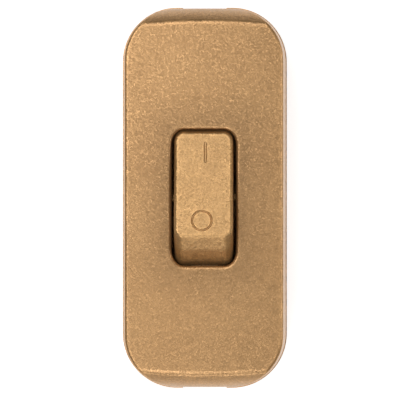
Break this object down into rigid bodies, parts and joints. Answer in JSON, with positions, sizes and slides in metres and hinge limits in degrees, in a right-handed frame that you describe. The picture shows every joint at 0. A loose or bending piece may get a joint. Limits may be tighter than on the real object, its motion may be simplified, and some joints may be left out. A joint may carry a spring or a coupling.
{
  "type": "in-line cord rocker switch",
  "caption": "In-line cord switch: gold-painted two-part casing with rounded ends, a tilting rocker with engraved bar and ring marks, and a cord inlet at each end.",
  "frame": {"origin": "middle of the flat back, on the surface the switch lies on", "axes": "+Z out of the face with the rocker, +Y toward the end of the rocker marked with the bar, +X to the right when the bar end is up"},
  "size_m": [0.0302, 0.07, 0.022],
  "materials": {
    "cover_paint": "satin metallic gold paint on plastic",
    "base_paint": "satin metallic gold paint on plastic",
    "rocker_paint": "satin metallic gold paint on plastic",
    "clamp_plastic": "moulded",
    "plunger_nylon": "moulded",
    "plated_steel": "zinc plated",
    "spring_steel": "drawn wire",
    "strip_brass": "stamped",
    "terminal_brass": "turned and milled",
    "contact_silver": "silver alloy"
  },
  "bodies": {
    "housing": {"front_cover": "cover_paint", "rear_base": "base_paint", "terminal_screws": "plated_steel", "cord_clamp_i": "clamp_plastic", "cord_clamp_o": "clamp_plastic", "cord_clamp_screws": "plated_steel", "housing_screws": "plated_steel", "fixed_contact_tip_left": "contact_silver", "pivot_strip_left": "strip_brass", "contact_strip_left": "strip_brass", "terminal_pillar_i_left": "terminal_brass", "terminal_pillar_o_left": "terminal_brass", "fixed_contact_tip_right": "contact_silver", "pivot_strip_right": "strip_brass", "contact_strip_right": "strip_brass", "terminal_pillar_i_right": "terminal_brass", "terminal_pillar_o_right": "terminal_brass"},
    "rocker": {"rocker_button": "rocker_paint", "plunger_spring_left": "spring_steel", "plunger_spring_right": "spring_steel"},
    "plunger_left_body": {"plunger_left": "plunger_nylon"},
    "plunger_right_body": {"plunger_right": "plunger_nylon"},
    "contact_left_body": {"contact_bridge_left": "strip_brass", "moving_contact_tip_left": "contact_silver"},
    "contact_right_body": {"contact_bridge_right": "strip_brass", "moving_contact_tip_right": "contact_silver"}
  },
  "joints": [
    {"name": "rocker_tilt", "type": "hinge", "parent": "housing", "child": "rocker", "pos_m": [0, 0, 0.0097], "axis": [1, 0, 0], "range_deg": [0, 26]},
    {"name": "plunger_press_left", "type": "slide", "parent": "rocker", "child": "plunger_left_body", "axis": [0, 0.225, 0.9744], "range_m": [0, 0.0006], "stiffness_N_per_m": 1000, "springref_m": -0.0015, "deforming": ["plunger_spring_left"]},
    {"name": "plunger_press_right", "type": "slide", "parent": "rocker", "child": "plunger_right_body", "axis": [0, 0.225, 0.9744], "range_m": [0, 0.0006], "stiffness_N_per_m": 1000, "springref_m": -0.0015, "deforming": ["plunger_spring_right"]},
    {"name": "contact_tilt_left", "type": "hinge", "parent": "housing", "child": "contact_left_body", "pos_m": [-0.0024, 0, 0.0044], "axis": [1, 0, 0], "range_deg": [-13, 0]},
    {"name": "contact_tilt_right", "type": "hinge", "parent": "housing", "child": "contact_right_body", "pos_m": [0.0024, 0, 0.0044], "axis": [1, 0, 0], "range_deg": [-13, 0]}
  ],
  "couplings": [
    {"joint": "contact_tilt_left", "follows": "rocker_tilt", "ratio": -0.5},
    {"joint": "contact_tilt_right", "follows": "rocker_tilt", "ratio": -0.5}
  ]
}
